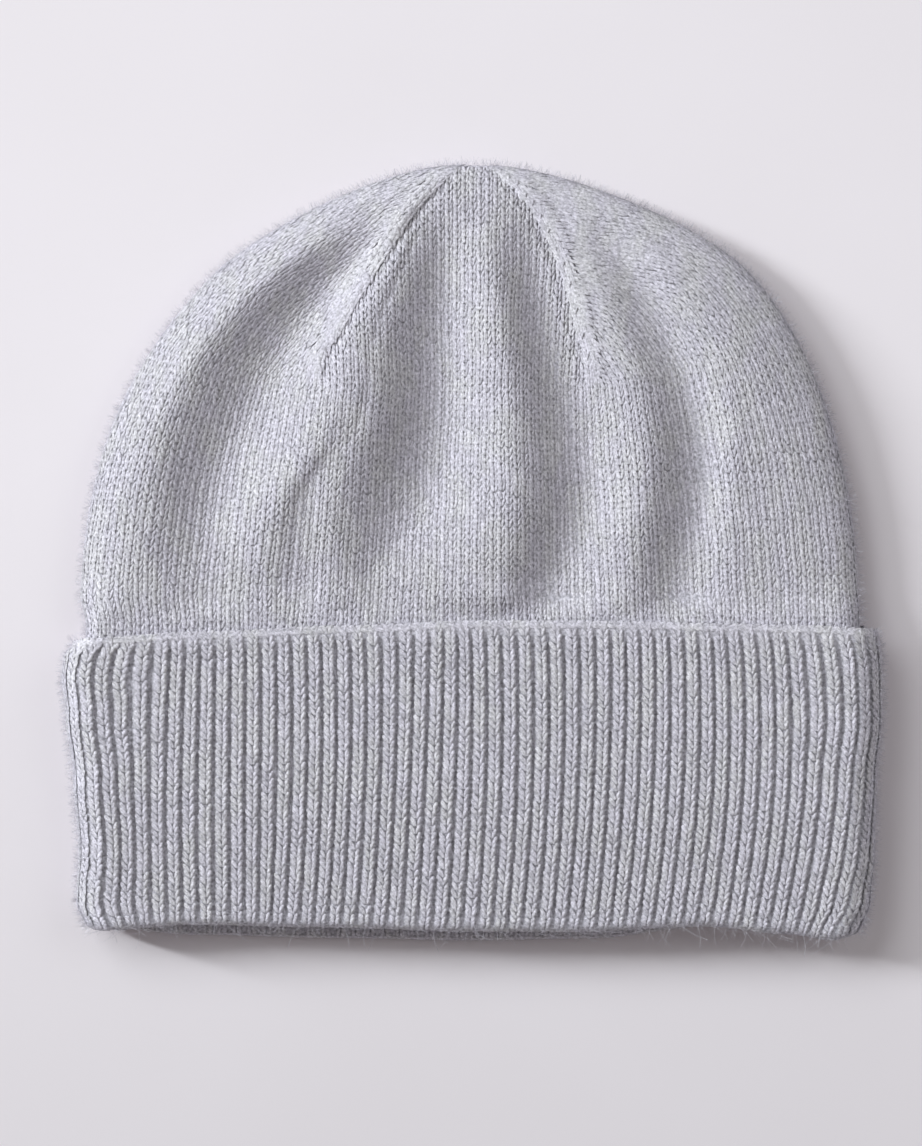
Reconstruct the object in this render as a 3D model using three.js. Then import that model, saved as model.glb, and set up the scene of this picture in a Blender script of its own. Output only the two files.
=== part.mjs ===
// A knitted skull cap with a turned-up cuff, lying on its back with nothing inside it.
// Millimetres. X runs across the cap, Y from the mouth up to the tip, Z up from the table.
// The front of the cap faces +Z. The origin is under the middle of the cap, on the table.

import * as THREE from 'three';

// Crown, a fine jersey shell
const CROWN_WALL = 1.8;
const CROWN_BASE_Y = -19; // the front edge of the cuff crosses the crown about here
const CROWN_HEIGHT = 119.1; // from that edge to the tip
const CROWN_HALF_WIDTH = 99.8;
const CROWN_HIDDEN_WIDENING = 0.6; // how much further each side reaches where it is joined
const CROWN_ROUNDNESS = 2.2; // 2 is an ellipse, more is squarer
const SHOULDER_START = 0.75; // part of the height where the outline starts to draw in
const SHOULDER_PINCH = 0.27; // share of the width that it has lost at the tip
const CROWN_LEAN = 2.6; // the empty top slumps this far to the right
const CROWN_REST_TOP = 13; // height of the upper wall's outside, between its folds
const CROWN_EDGE_ROLL = 6.5; // radius of the rounded edge between front and back

// Seams where the crown narrows, as X at each height; both end at the tip
const SEAM_PATH = [
  { y: -19, left: -45, right: 31.8 },
  { y: 42, left: -39.4, right: 29 },
  { y: 57, left: -33.2, right: 26.1 },
  { y: 73, left: -23.9, right: 21.9 },
  { y: 88.5, left: -13.3, right: 14.2 },
  { y: 97.8, left: -4.5, right: 5.8 },
];
const SEAM_START_Y = 42; // below this the seams are plain lines of stitches
const SEAM_RAISE = 0.5;
const SEAM_HALF_WIDTH = 2.4;

// Soft folds that fan out from the tip over the front: X at three heights, and rise
const FOLD_LOW_Y = -2;
const FOLD_MIDDLE_Y = 26;
const FOLD_HIGH_Y = 78;
const FOLDS = [
  { name: 'left edge', low: -110, middle: -104, high: -70, rise: 0 },
  { name: 'left roll', low: -88, middle: -83, high: -47, rise: 0.8 },
  { name: 'left valley', low: -70, middle: -64, high: -30, rise: -1.6 },
  { name: 'left seam ridge', low: -43, middle: -41, high: -20.5, rise: 2 },
  { name: 'inner left valley', low: -19, middle: -15.5, high: -8.5, rise: -2 },
  { name: 'middle ridge', low: 9, middle: 11, high: 5.8, rise: 1.8 },
  { name: 'right seam valley', low: 23, middle: 27.5, high: 16.5, rise: -0.6 },
  { name: 'right ridge', low: 43, middle: 44.5, high: 29, rise: 2.2 },
  { name: 'right valley', low: 56.5, middle: 58.5, high: 37, rise: -1.8 },
  { name: 'right roll', low: 88, middle: 81, high: 50, rise: 1.2 },
  { name: 'right edge', low: 110, middle: 106, high: 76, rise: 0 },
];

// Cuff, one ribbed band folded double, with a narrow gap between its two layers
const CUFF_THICKNESS = 16.5; // of the whole flat cuff, back to front
const CUFF_MOUTH_DROOP = 1.3; // the upper lip sinks this much at the mouth
const CUFF_OUTER_WALL = 2.4;
const CUFF_INNER_WALL = 2.2;
const LAYER_GAP = 0.4;
const PIECE_GAP = 0.3; // between the crown's lower end and the cuff's inner layer
const JOIN_Y = -45; // where the crown is knitted on, hidden in the turn-up
const RIB_COUNT = 112;
const RIB_DEPTH = 1.1;
const RIB_CREST_START = 0.28; // parts of one rib's width
const RIB_CREST_END = 0.72;
const FOLD_SCALLOP = 0.8; // the fold is this much shorter in each groove

// Side edges of the flat cuff, from its upper edge down to the mouth
const CUFF_SIDES = [
  { y: -20, left: -105, right: 104.6 },
  { y: -32, left: -105.7, right: 105.4 },
  { y: -42, left: -104.7, right: 105.7 },
  { y: -58, left: -102.9, right: 104.1 },
  { y: -77, left: -101.6, right: 103.6 },
  { y: -90, left: -102.2, right: 102.7 },
  { y: -98, left: -99.6, right: 100.2 },
];

// Upper edge of the turn-up, and the fold at the mouth in front and behind
const CUFF_EDGES = [
  { x: -106, top: -26, front: -97.4, back: -97.4 },
  { x: -99, top: -22.2, front: -97.8, back: -98 },
  { x: -72, top: -20.7, front: -96, back: -99.4 },
  { x: -35, top: -19.2, front: -97.2, back: -99.9 },
  { x: 0, top: -17.8, front: -98.4, back: -100.1 },
  { x: 30, top: -17.9, front: -98.1, back: -99.8 },
  { x: 62, top: -18.9, front: -96.4, back: -97.4 },
  { x: 85, top: -19.5, front: -98.3, back: -98.6 },
  { x: 99, top: -20.9, front: -99.6, back: -99.2 },
  { x: 106, top: -25, front: -98.6, back: -98.6 },
];

// Sideways drift of the ribs towards the mouth
const RIB_DRIFT_START_Y = -62;
const RIB_DRIFT = [
  { x: -106, drift: 0 },
  { x: -60, drift: -0.6 },
  { x: 0, drift: -2 },
  { x: 45, drift: -3.4 },
  { x: 80, drift: -4.4 },
  { x: 106, drift: 0 },
];

// Facets
const RIM_STEPS = 90;
const ROWS_IN_CUFF = 3;
const ROWS_BELOW_SEAMS = 8;
const ROWS_ABOVE_SEAMS = 9;
const SIDE_COLUMNS = 5;
const MIDDLE_COLUMNS = 10;
const ROLL_MARKS = [0, 0.134, 0.5, 1];

const JERSEY = new THREE.MeshStandardMaterial({ color: 0xabaab1, roughness: 0.95, metalness: 0 });
const RIBBING = new THREE.MeshStandardMaterial({ color: 0xa5a4ab, roughness: 0.95, metalness: 0 });

// 0 before from and 1 past to, smooth between them, in either direction
function ease(from, to, value) {
  const share = THREE.MathUtils.clamp((value - from) / (to - from), 0, 1);
  return share * share * (3 - 2 * share);
}

// Value of a table's column at a place along its key column, eased between the rows
function along(table, key, column, place) {
  const rows = [...table].sort((a, b) => a[key] - b[key]);
  const after = rows.findIndex((row) => row[key] > place);
  if (after === 0) return rows[0][column];
  if (after < 0) return rows[rows.length - 1][column];
  const low = rows[after - 1];
  const high = rows[after];
  return THREE.MathUtils.lerp(low[column], high[column], ease(low[key], high[key], place));
}

// The crown's outline seen from above, one side from the cuff's edge up to the tip
function rimSide(side) {
  const points = [];
  for (let step = 0; step <= RIM_STEPS; step += 1) {
    const turn = (step / RIM_STEPS) * (Math.PI / 2);
    const climb = Math.sin(turn) ** (2 / CROWN_ROUNDNESS);
    const shoulder = Math.max(0, (climb - SHOULDER_START) / (1 - SHOULDER_START));
    const pinch = 1 - SHOULDER_PINCH * shoulder ** 2;
    const halfWidth = CROWN_HALF_WIDTH * Math.max(0, Math.cos(turn)) ** (2 / CROWN_ROUNDNESS);
    const lean = CROWN_LEAN * Math.sin(Math.PI * climb ** 3);
    points.push(new THREE.Vector2(
      side * halfWidth * pinch + lean,
      CROWN_BASE_Y + CROWN_HEIGHT * climb,
    ));
  }
  return points;
}

// Inside the cuff the crown's sides run on almost straight to where it is joined
function hiddenSide(side, y) {
  const share = (CROWN_BASE_Y - y) / (CROWN_BASE_Y - JOIN_Y);
  return new THREE.Vector2(side * (CROWN_HALF_WIDTH + CROWN_HIDDEN_WIDENING * share), y);
}

const leftRim = rimSide(-1);
const rightRim = rimSide(1);
const rimLine = [
  hiddenSide(-1, JOIN_Y),
  ...leftRim,
  ...rightRim.slice(0, -1).reverse(),
  hiddenSide(1, JOIN_Y),
];
const leftRimCurve = new THREE.SplineCurve(leftRim);
const rightRimCurve = new THREE.SplineCurve(rightRim);
const tip = leftRim[leftRim.length - 1];

function rimDistance(x, y) {
  const point = new THREE.Vector3(x, y, 0);
  const nearest = new THREE.Vector3();
  const segment = new THREE.Line3();
  let distance = Infinity;
  for (let index = 1; index < rimLine.length; index += 1) {
    segment.start.set(rimLine[index - 1].x, rimLine[index - 1].y, 0);
    segment.end.set(rimLine[index].x, rimLine[index].y, 0);
    segment.closestPointToPoint(point, true, nearest);
    distance = Math.min(distance, nearest.distanceTo(point));
  }
  return distance;
}

// X of a fold's line at a height: a parabola through its three places
function foldX(fold, y) {
  const middleToLow = (y - FOLD_MIDDLE_Y) / (FOLD_LOW_Y - FOLD_MIDDLE_Y);
  const low = middleToLow * (y - FOLD_HIGH_Y) / (FOLD_LOW_Y - FOLD_HIGH_Y);
  const lowToMiddle = (y - FOLD_LOW_Y) / (FOLD_MIDDLE_Y - FOLD_LOW_Y);
  const middle = lowToMiddle * (y - FOLD_HIGH_Y) / (FOLD_MIDDLE_Y - FOLD_HIGH_Y);
  return fold.low * low + fold.middle * middle + fold.high * (1 - low - middle);
}

function foldRise(x, y) {
  const level = THREE.MathUtils.clamp(y, FOLD_LOW_Y, FOLD_HIGH_Y + 8);
  const lines = FOLDS.map((fold) => ({ x: foldX(fold, level), rise: fold.rise }));
  const fadeAtCuff = ease(CROWN_BASE_Y + 1, CROWN_BASE_Y + 8, y);
  const fadeAtTip = 1 - ease(FOLD_HIGH_Y - 8, tip.y - 4, y);
  const fadeAtRim = ease(0, 1.6 * CROWN_EDGE_ROLL, rimDistance(x, y));
  return along(lines, 'x', 'rise', x) * fadeAtCuff * fadeAtTip * fadeAtRim;
}

// Height of the crown's outside above the table; face is 1 for the front, -1 for the back
function crownHeight(x, y, face) {
  const outOfCuff = ease(CROWN_BASE_Y - 1, CROWN_BASE_Y + 14, y);
  const cuffMiddle = CUFF_THICKNESS / 2;
  const hiddenHalf = cuffMiddle - CUFF_OUTER_WALL - LAYER_GAP;
  const top = THREE.MathUtils.lerp(cuffMiddle + hiddenHalf, CROWN_REST_TOP, outOfCuff);
  const bottom = THREE.MathUtils.lerp(cuffMiddle - hiddenHalf, 0, outOfCuff);
  const middle = (top + bottom) / 2;
  const roll = THREE.MathUtils.lerp(hiddenHalf, CROWN_EDGE_ROLL, outOfCuff);
  const depth = Math.min(1, rimDistance(x, y) / roll);
  const rounded = Math.sqrt(1 - (1 - depth) ** 2);
  const surface = face > 0 ? top + foldRise(x, y) : bottom;
  return middle + (surface - middle) * rounded;
}

// The lines that rows of stitches follow: level in the middle, bent up to the rim beyond a seam
function crownRows() {
  const seams = ['left', 'right'].map((side) => new THREE.SplineCurve(
    [...SEAM_PATH.map((row) => new THREE.Vector2(row.y, row[side])), new THREE.Vector2(tip.y, tip.x)],
  ));
  const seamX = (side, y) => {
    const curve = seams[side];
    let low = 0;
    let high = 1;
    for (let halving = 0; halving < 24; halving += 1) {
      const middle = (low + high) / 2;
      if (curve.getPoint(middle).x < y) low = middle;
      else high = middle;
    }
    return curve.getPoint(low).y;
  };
  const rimShareAtSeamStart = (SEAM_START_Y - CROWN_BASE_Y) / leftRimCurve.getLength();
  const rows = [];
  for (let row = 0; row < ROWS_IN_CUFF; row += 1) {
    const y = THREE.MathUtils.lerp(JOIN_Y, CROWN_BASE_Y, row / ROWS_IN_CUFF);
    rows.push({ y, rim: [hiddenSide(-1, y), hiddenSide(1, y)], seam: SEAM_PATH[0] });
  }
  for (let row = 0; row < ROWS_BELOW_SEAMS; row += 1) {
    const share = row / ROWS_BELOW_SEAMS;
    const y = THREE.MathUtils.lerp(CROWN_BASE_Y, SEAM_START_Y, share);
    const around = share * rimShareAtSeamStart;
    rows.push({
      y,
      rim: [leftRimCurve.getPointAt(around), rightRimCurve.getPointAt(around)],
      seam: { left: seamX(0, y), right: seamX(1, y) },
    });
  }
  for (let row = 0; row < ROWS_ABOVE_SEAMS; row += 1) {
    const share = row / ROWS_ABOVE_SEAMS;
    const y = THREE.MathUtils.lerp(SEAM_START_Y, tip.y, share);
    const around = THREE.MathUtils.lerp(rimShareAtSeamStart, 1, share);
    rows.push({
      y,
      rim: [leftRimCurve.getPointAt(around), rightRimCurve.getPointAt(around)],
      seam: { left: seamX(0, y), right: seamX(1, y) },
    });
  }
  return rows;
}

// One row's points over one face, from the left rim to the right rim
function rowPoints(row, face) {
  const seamXs = face > 0 ? [row.seam.left, row.seam.right] : [-row.seam.right, -row.seam.left];
  const seams = seamXs.map((x) => new THREE.Vector2(x, row.y));
  const middleLength = seams[1].x - seams[0].x;
  const points = [];
  const sideGore = (rim, seam) => {
    const length = rim.distanceTo(seam);
    const roll = Math.min(CROWN_EDGE_ROLL, 0.4 * length) / length;
    const seamEdge = 1 - Math.min(SEAM_HALF_WIDTH, 0.15 * length) / length;
    const marks = ROLL_MARKS.map((mark) => mark * roll);
    for (let column = 1; column <= SIDE_COLUMNS; column += 1) {
      marks.push(THREE.MathUtils.lerp(roll, seamEdge, column / SIDE_COLUMNS));
    }
    return marks.map((mark) => rim.clone().lerp(seam, mark));
  };
  const left = sideGore(row.rim[0], seams[0]);
  const right = sideGore(row.rim[1], seams[1]).reverse();
  const seamEdge = Math.min(SEAM_HALF_WIDTH, 0.12 * middleLength);
  points.push(...left.map((place) => ({ place, raise: 0 })));
  points.push({ place: seams[0], raise: SEAM_RAISE });
  for (let column = 0; column < MIDDLE_COLUMNS; column += 1) {
    const x = THREE.MathUtils.lerp(
      seams[0].x + seamEdge,
      seams[1].x - seamEdge,
      column / (MIDDLE_COLUMNS - 1),
    );
    points.push({ place: new THREE.Vector2(x, row.y), raise: 0 });
  }
  points.push({ place: seams[1], raise: SEAM_RAISE });
  points.push(...right.map((place) => ({ place, raise: 0 })));
  return points.map(({ place, raise }) => ({
    at: new THREE.Vector3(place.x, place.y, crownHeight(place.x, place.y, face)),
    raise: face < 0 || row.y < SEAM_START_Y ? 0 : raise,
  }));
}

// Triangles between two rings of points, whose counts may differ
function joinRings(first, firstCount, second, secondCount, triangles) {
  let one = 0;
  let two = 0;
  while (one < firstCount || two < secondCount) {
    const a = first + (one % firstCount);
    const b = second + (two % secondCount);
    if (two >= secondCount || (one < firstCount && (one + 0.5) / firstCount <= (two + 0.5) / secondCount)) {
      triangles.push(a, first + ((one + 1) % firstCount), b);
      one += 1;
    } else {
      triangles.push(a, second + ((two + 1) % secondCount), b);
      two += 1;
    }
  }
}

function solidMesh(name, points, triangles, material) {
  const geometry = new THREE.BufferGeometry().setFromPoints(points);
  geometry.setIndex(triangles);
  geometry.computeVertexNormals();
  const mesh = new THREE.Mesh(geometry, material);
  mesh.name = name;
  return mesh;
}

// The crown: its outside, its inside one wall further in, joined at the lower end
function makeCrown() {
  const rings = crownRows().map((row) => {
    const front = rowPoints(row, 1);
    const back = rowPoints(row, -1).slice(1, -1).reverse();
    return [...front, ...back];
  });
  const ringSize = rings[0].length;
  const outside = rings.flat();
  const tipIndex = outside.length;
  const tipHeight = crownHeight(tip.x, tip.y, 1);
  outside.push({ at: new THREE.Vector3(tip.x, tip.y, tipHeight), raise: 0 });
  const shell = [];
  for (let ring = 1; ring < rings.length; ring += 1) {
    joinRings((ring - 1) * ringSize, ringSize, ring * ringSize, ringSize, shell);
  }
  const lastRing = (rings.length - 1) * ringSize;
  for (let column = 0; column < ringSize; column += 1) {
    shell.push(lastRing + column, lastRing + ((column + 1) % ringSize), tipIndex);
  }
  const smooth = new THREE.BufferGeometry().setFromPoints(outside.map((point) => point.at));
  smooth.setIndex(shell);
  smooth.computeVertexNormals();
  const normals = smooth.getAttribute('normal');
  const points = [];
  const inner = [];
  outside.forEach(({ at, raise }, index) => {
    const normal = new THREE.Vector3().fromBufferAttribute(normals, index);
    points.push(at.clone().addScaledVector(normal, raise));
    const inside = at.clone().addScaledVector(normal, -CROWN_WALL);
    if (index < ringSize) inside.y = at.y;
    inner.push(inside);
  });
  const innerStart = points.length;
  points.push(...inner);
  const triangles = [...shell];
  for (let corner = 0; corner < shell.length; corner += 3) {
    triangles.push(
      innerStart + shell[corner],
      innerStart + shell[corner + 2],
      innerStart + shell[corner + 1],
    );
  }
  joinRings(innerStart, ringSize, 0, ringSize, triangles);
  return solidMesh('crown', points, triangles, JERSEY);
}

// A place on the cuff's flat oval section: share runs once round it from the left end,
// over the front first, and inset is how far the place lies inside the cuff's outside
function ovalPlace(share, y, inset) {
  const droop = CUFF_MOUTH_DROOP * ease(-60, -98, y);
  const half = (CUFF_THICKNESS - droop) / 2;
  const left = along(CUFF_SIDES, 'y', 'left', y) + half;
  const right = along(CUFF_SIDES, 'y', 'right', y) - half;
  const straight = right - left;
  const quarter = (half * Math.PI) / 2;
  const total = 2 * straight + 4 * quarter;
  const travel = THREE.MathUtils.euclideanModulo(share, 1) * total;
  const radius = half - inset;
  if (travel < quarter) {
    const turn = travel / half;
    return { x: left - radius * Math.cos(turn), z: half + radius * Math.sin(turn) };
  }
  if (travel < quarter + straight) {
    return { x: left + travel - quarter, z: half + radius };
  }
  if (travel < 3 * quarter + straight) {
    const turn = (travel - quarter - straight) / half;
    return { x: right + radius * Math.sin(turn), z: half + radius * Math.cos(turn) };
  }
  if (travel < 3 * quarter + 2 * straight) {
    return { x: right - (travel - 3 * quarter - straight), z: half - radius };
  }
  const turn = (travel - 3 * quarter - 2 * straight) / half;
  return { x: left - radius * Math.sin(turn), z: half - radius * Math.cos(turn) };
}

// One point of the cuff. The level is given from the upper edge (0) to the fold (1), plus a step
function cuffPoint(share, { level, step, inset, hidden }) {
  const rough = ovalPlace(share, -58, 0);
  const front = THREE.MathUtils.clamp(rough.z / CUFF_THICKNESS, 0, 1);
  const upper = hidden ? JOIN_Y - PIECE_GAP : along(CUFF_EDGES, 'x', 'top', rough.x);
  const fold = THREE.MathUtils.lerp(
    along(CUFF_EDGES, 'x', 'back', rough.x),
    along(CUFF_EDGES, 'x', 'front', rough.x),
    ease(0.2, 0.8, front),
  );
  const y = THREE.MathUtils.lerp(upper, fold, level) + step;
  const facing = front > 0.5 ? 1 : -1;
  const drift = along(RIB_DRIFT, 'x', 'drift', rough.x) * ease(RIB_DRIFT_START_Y, -98, y);
  const perimeter = 2 * (CUFF_SIDES[0].right - CUFF_SIDES[0].left + CUFF_THICKNESS);
  const place = ovalPlace(share + (facing * drift) / perimeter, y, inset);
  return new THREE.Vector3(place.x, y, place.z);
}

// The cuff's rings in order round its section: down the outside, round the fold, up the inside,
// over the inner layer's upper end, down into the gap between the layers and up out of it
function cuffStations() {
  const innerFace = CUFF_OUTER_WALL + LAYER_GAP + CUFF_INNER_WALL;
  const gapFace = CUFF_OUTER_WALL + LAYER_GAP;
  const middle = innerFace / 2;
  return [
    { level: 0, step: 0, inset: 0.5, ribbed: true },
    { level: 0, step: -1.5, inset: 0, ribbed: true },
    { level: 0.4, step: 0, inset: 0, ribbed: true },
    { level: 0.72, step: 0, inset: 0, ribbed: true },
    { level: 1, step: 4, inset: 0, ribbed: true },
    { level: 1, step: 1.3, inset: 0.8, ribbed: true },
    { level: 1, step: 0, inset: middle, scalloped: true },
    { level: 1, step: 1.3, inset: innerFace - 0.8 },
    { level: 1, step: 4, inset: innerFace },
    { level: 0.5, step: 0, inset: innerFace, hidden: true },
    { level: 0, step: 0, inset: innerFace, hidden: true },
    { level: 0, step: 0, inset: gapFace, hidden: true },
    { level: 0.5, step: 0, inset: gapFace, hidden: true },
    { level: 1, step: 4.4, inset: gapFace },
    { level: 1, step: 4, inset: gapFace - LAYER_GAP / 2 },
    { level: 1, step: 4.4, inset: CUFF_OUTER_WALL },
    { level: 0.5, step: 0, inset: CUFF_OUTER_WALL },
    { level: 0, step: 0, inset: CUFF_OUTER_WALL },
  ];
}

function makeCuff() {
  const ribMarks = [
    { along: 0, groove: 1 },
    { along: RIB_CREST_START, groove: 0 },
    { along: RIB_CREST_END, groove: 0 },
  ];
  const points = [];
  const rings = cuffStations().map((station) => {
    const marks = station.ribbed || station.scalloped ? ribMarks : [{ along: 0.5, groove: 0 }];
    const ring = { start: points.length, count: RIB_COUNT * marks.length };
    for (let rib = 0; rib < RIB_COUNT; rib += 1) {
      for (const mark of marks) {
        const sunk = station.ribbed ? RIB_DEPTH * mark.groove : 0;
        const short = station.scalloped ? FOLD_SCALLOP * mark.groove : 0;
        points.push(cuffPoint((rib + mark.along - 0.5) / RIB_COUNT, {
          ...station,
          inset: station.inset + sunk,
          step: station.step + short,
        }));
      }
    }
    return ring;
  });
  const triangles = [];
  rings.forEach((ring, index) => {
    const next = rings[(index + 1) % rings.length];
    joinRings(next.start, next.count, ring.start, ring.count, triangles);
  });
  return solidMesh('cuff', points, triangles, RIBBING);
}

const cap = new THREE.Group();
cap.add(makeCrown(), makeCuff());

// The origin is under the middle of the whole cap
const size = new THREE.Box3().setFromObject(cap);
const centre = size.getCenter(new THREE.Vector3());
cap.position.set(-centre.x, -centre.y, -size.min.z);

export default cap;
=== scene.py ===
import bpy
import numpy as np
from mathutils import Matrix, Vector


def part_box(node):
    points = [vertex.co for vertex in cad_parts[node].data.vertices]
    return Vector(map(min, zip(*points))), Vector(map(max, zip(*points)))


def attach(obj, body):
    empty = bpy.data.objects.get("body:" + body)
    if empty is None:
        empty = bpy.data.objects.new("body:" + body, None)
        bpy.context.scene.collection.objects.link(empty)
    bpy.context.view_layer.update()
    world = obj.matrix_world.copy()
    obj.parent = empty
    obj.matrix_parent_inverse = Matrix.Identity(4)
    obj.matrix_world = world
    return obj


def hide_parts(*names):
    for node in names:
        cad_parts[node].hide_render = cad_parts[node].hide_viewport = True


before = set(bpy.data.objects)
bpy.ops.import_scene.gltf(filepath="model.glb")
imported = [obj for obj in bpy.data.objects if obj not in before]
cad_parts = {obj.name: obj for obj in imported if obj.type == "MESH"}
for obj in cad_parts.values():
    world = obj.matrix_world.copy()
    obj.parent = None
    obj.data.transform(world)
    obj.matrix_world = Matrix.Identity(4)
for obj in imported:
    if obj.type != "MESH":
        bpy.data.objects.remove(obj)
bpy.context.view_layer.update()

# The crown: one jersey shell, knitted in the round from soft wool and narrowed along four
# seams that meet at the tip. It lies on its back, so its underside is pressed flat, its edge
# is rolled round, and soft folds fan out from the tip over the front. Sizes are millimetres.
MM = 0.001
CROWN_BASE_Y = -19.0
CROWN_HEIGHT = 119.1
TIP_Y = CROWN_BASE_Y + CROWN_HEIGHT
CROWN_HALF_WIDTH = 99.8
CROWN_HIDDEN_WIDENING = 0.6
CROWN_ROUNDNESS = 2.2
SHOULDER_START = 0.75
SHOULDER_PINCH = 0.27
CROWN_LEAN = 2.6
LEFT_BULGE = 1.7
LEFT_BULGE_START = (0, 0.07)
LEFT_BULGE_END = (0.4, 0.85)
CROWN_REST_TOP = 13.0
JOIN_Y = -45.0
SEAM_START_Y = 42.0
SEAM_PATH = {
    "y": (-19, 42, 57, 73, 88.5, 97.8),
    "left": (-45, -39.4, -33.2, -23.9, -13.3, -4.5),
    "right": (31.8, 29, 26.1, 21.9, 14.2, 5.8),
}
# The front is face 1 and the back face -1
EDGE_REACH = {1: 16.0, -1: 6.5}
# Each fold's x and its rise, at these heights
FOLD_LEVELS = (-8, 13, 34, 55, 80)
FOLDS = {
    "left edge": ((-110, -105, -98, -85, -61), (0.4, 0.4, 0.2, 0, 0)),
    "left roll": ((-84, -83, -79, -69, -44), (0.5, 1.2, 1.8, 2, 1.6)),
    "left valley": ((-68, -67, -59, -48, -28), (-1, -2.7, -3.4, -3.4, -2)),
    "left ridge": ((-53, -48, -34, -28, -17), (0, 2.8, 4.2, 4, 2)),
    "small valley": ((-44, -43, -31, -26.5, -16), (-0.6, 1.9, 4.2, 3.9, 1.9)),
    "small ridge": ((-35, -36, -28, -25, -15), (0.5, 2.8, 3.8, 3.5, 1.3)),
    "inner left valley": ((-25, -14, -10, -8.5, -7), (-0.4, -3.2, -3.6, -2.4, -0.6)),
    "middle ridge": ((7, 10.5, 10, 7, 4), (2, 3.5, 3.6, 3.4, 2)),
    "inner right valley": ((21, 28, 26, 20, 15), (-2.6, -2.8, -2.6, -2.2, -1)),
    "right ridge": ((40, 43.5, 43.5, 37, 27), (1, 2, 1.9, 1.4, 0.6)),
    "right valley": ((54, 58, 57, 50, 35), (-2.6, -3.2, -2.9, -1.8, -0.5)),
    "right roll": ((67, 68, 68, 62, 45), (-0.8, -0.4, 0.6, 1, 0.8)),
    "right edge": ((110, 106, 100, 88, 62), (-1, -1, -0.7, -0.6, 0)),
}
FOLDS_START_Y = (CROWN_BASE_Y + 1, CROWN_BASE_Y + 8)
FOLDS_END_Y = (70, TIP_Y - 4)
FOLDS_START_INSIDE = (0, 12)
SEAM_BAND_WIDTH = 4.2
SEAM_BAND_NEAR_SIDE = (-0.5, 0.7)
SEAM_BAND_FAR_SIDE = (SEAM_BAND_WIDTH - 0.8, SEAM_BAND_WIDTH + 2)
SEAM_RAISE = 0.5
SEAM_GROOVE = 0.3
SEAM_GROOVE_OFFSET = 0.9
SEAM_GROOVE_SIDE = (0, 1.3)
SEAM_TROUGH = 0.35
SEAM_TROUGH_SIDE = (1, 3.2)
SEAM_RISES_Y = (SEAM_START_Y - 3, SEAM_START_Y + 8)
SEAM_FADES_Y = (94, TIP_Y)
CUFF_EDGE_Y = (CROWN_BASE_Y - 1, CROWN_BASE_Y + 14)
CUFF_THICKNESS = 16.5
CUFF_OUTER_WALL = 2.4
LAYER_GAP = 0.4
PLACES_AT_ONCE = 4000

# The cap's own middle lies where the frame's crown has its middle
crown_low, crown_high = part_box("crown")
CAP_SHIFT = np.array(((crown_low[0] + crown_high[0]) / 2, 0.0, 0.0))


def eased(start, end, value):
    """0 before start and 1 past end, smooth between them, in either direction."""
    share = np.clip((value - start) / (end - start), 0, 1)
    return share * share * (3 - 2 * share)


def along(places, values, place):
    """The values' curve at a place: level at each of the places, eased between them."""
    places = np.asarray(places, float)
    values = np.asarray(values, float)
    after = np.clip(np.searchsorted(places, place), 1, len(places) - 1)
    share = eased(places[after - 1], places[after], place)
    return values[after - 1] + (values[after] - values[after - 1]) * share


def smooth_curve(points, steps=24):
    """A smooth curve through all the points, which is straight on at its two ends."""
    points = np.asarray(points, float)
    padded = np.vstack((points[:1], points, points[-1:]))
    t = np.linspace(0, 1, steps, endpoint=False)[:, None]
    pieces = []
    for before, start, end, after in zip(padded, padded[1:], padded[2:], padded[3:]):
        slope_start = (end - before) / 2
        slope_end = (after - start) / 2
        pieces.append(
            start + slope_start * t
            + (3 * (end - start) - 2 * slope_start - slope_end) * t ** 2
            + (2 * (start - end) + slope_start + slope_end) * t ** 3
        )
    return np.vstack(pieces + [points[-1:]])


def rim_side(side, steps=240):
    """The crown's outline from above, on one side, from the cuff's edge up to the tip."""
    turn = np.linspace(0, np.pi / 2, steps)
    climb = np.sin(turn) ** (2 / CROWN_ROUNDNESS)
    shoulder = np.clip((climb - SHOULDER_START) / (1 - SHOULDER_START), 0, 1)
    half_width = CROWN_HALF_WIDTH * np.clip(np.cos(turn), 0, 1) ** (2 / CROWN_ROUNDNESS)
    half_width *= 1 - SHOULDER_PINCH * shoulder ** 2
    if side < 0:
        bulge = eased(*LEFT_BULGE_START, climb) * (1 - eased(*LEFT_BULGE_END, climb))
        half_width += LEFT_BULGE * bulge
    lean = CROWN_LEAN * np.sin(np.pi * climb ** 3)
    return np.column_stack((side * half_width + lean, CROWN_BASE_Y + CROWN_HEIGHT * climb))


RIMS = {side: rim_side(side) for side in (-1, 1)}
hidden_edge = CROWN_HALF_WIDTH + CROWN_HIDDEN_WIDENING
RIM_LINE = np.vstack((
    [(-hidden_edge, JOIN_Y)], RIMS[-1], RIMS[1][-2::-1], [(hidden_edge, JOIN_Y)],
))
seam_curves = {
    side: smooth_curve([*zip(SEAM_PATH["y"], SEAM_PATH[side]), (TIP_Y, 0.0)])
    for side in ("left", "right")
}
fold_curves = [
    [smooth_curve(list(zip(FOLD_LEVELS, values))) for values in fold] for fold in FOLDS.values()
]


def rim_distance(x, y):
    """How far each place lies inside the crown's outline."""
    start, end = RIM_LINE[:-1], RIM_LINE[1:]
    step = end - start
    reach = (step ** 2).sum(1)
    distance = np.empty(len(x))
    for first in range(0, len(x), PLACES_AT_ONCE):
        part = slice(first, first + PLACES_AT_ONCE)
        offset = np.stack((x[part], y[part]), 1)[:, None] - start
        share = np.clip((offset * step).sum(2) / reach, 0, 1)
        distance[part] = np.linalg.norm(offset - share[..., None] * step, axis=2).min(1)
    return distance


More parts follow.
